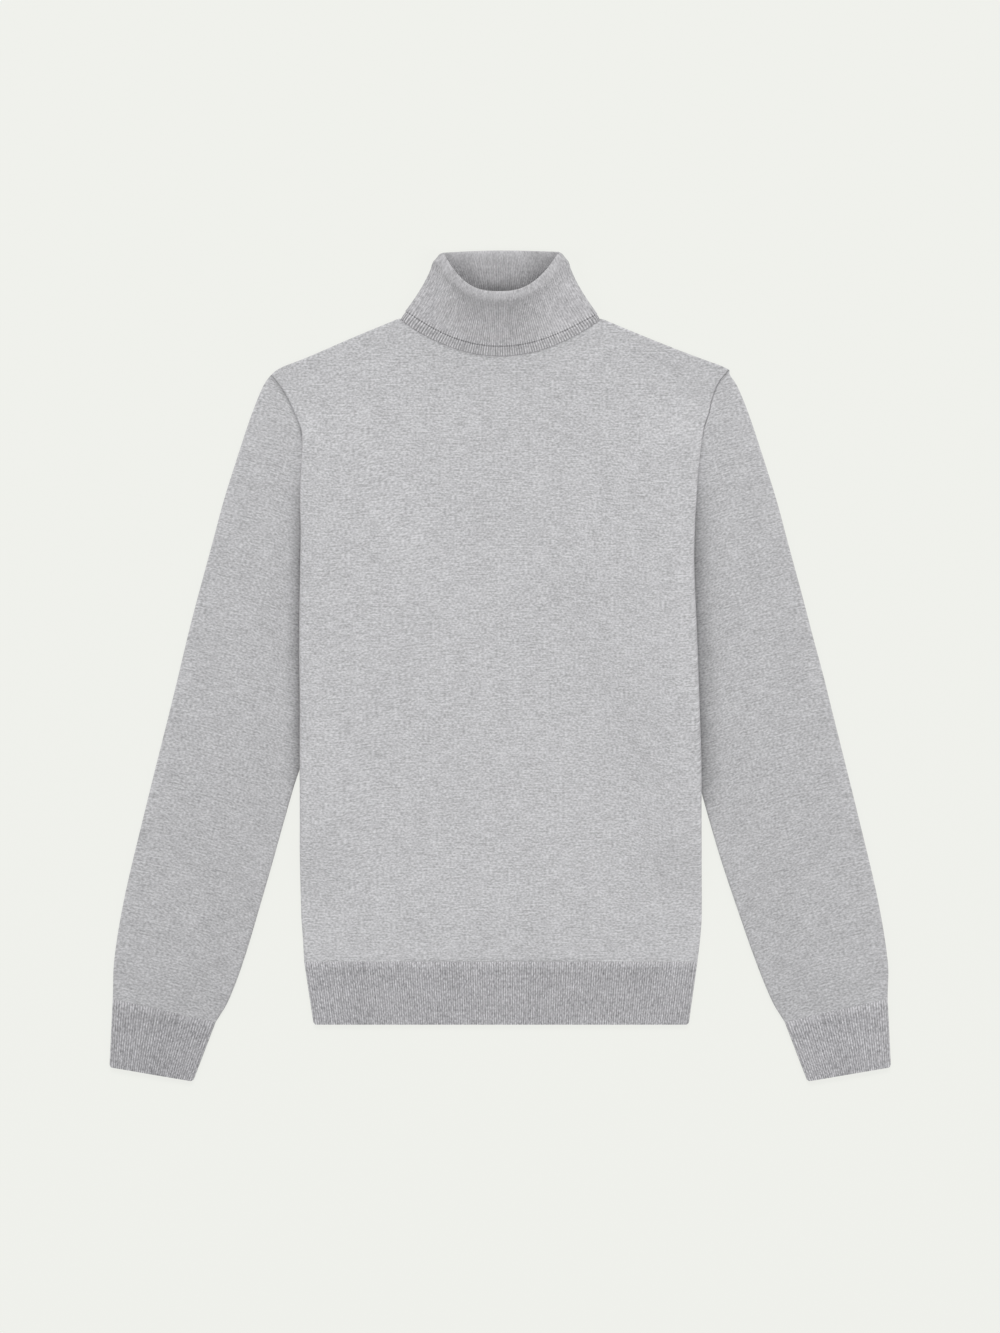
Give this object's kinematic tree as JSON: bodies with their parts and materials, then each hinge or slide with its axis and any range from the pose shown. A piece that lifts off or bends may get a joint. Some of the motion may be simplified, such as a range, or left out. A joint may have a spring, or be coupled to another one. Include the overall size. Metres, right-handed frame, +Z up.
{
  "type": "turtleneck sweater",
  "caption": "Fine-knit turtleneck sweater laid flat, front up, with long set-in sleeves, a turned-down ribbed collar and a ribbed hem and cuffs.",
  "frame": {"origin": "on the surface it rests on, under the middle of the whole sweater", "axes": "+Y from the hem to the neck, +Z up from the surface towards the front of the sweater, +X to the wearer's left"},
  "size_m": [0.7536, 0.8001, 0.0244],
  "materials": {
    "jersey": "matt, plain fine knit in light grey melange",
    "rib": "matt, 1 by 1 ribbed knit in the same yarn, darker in its furrows"
  },
  "bodies": {
    "root": {"back_body": "jersey", "front_body": "jersey", "sleeve_right": "jersey", "sleeve_left": "jersey", "hem_rib": "rib", "cuff_right": "rib", "cuff_left": "rib", "collar": "rib"}
  },
  "joints": []
}
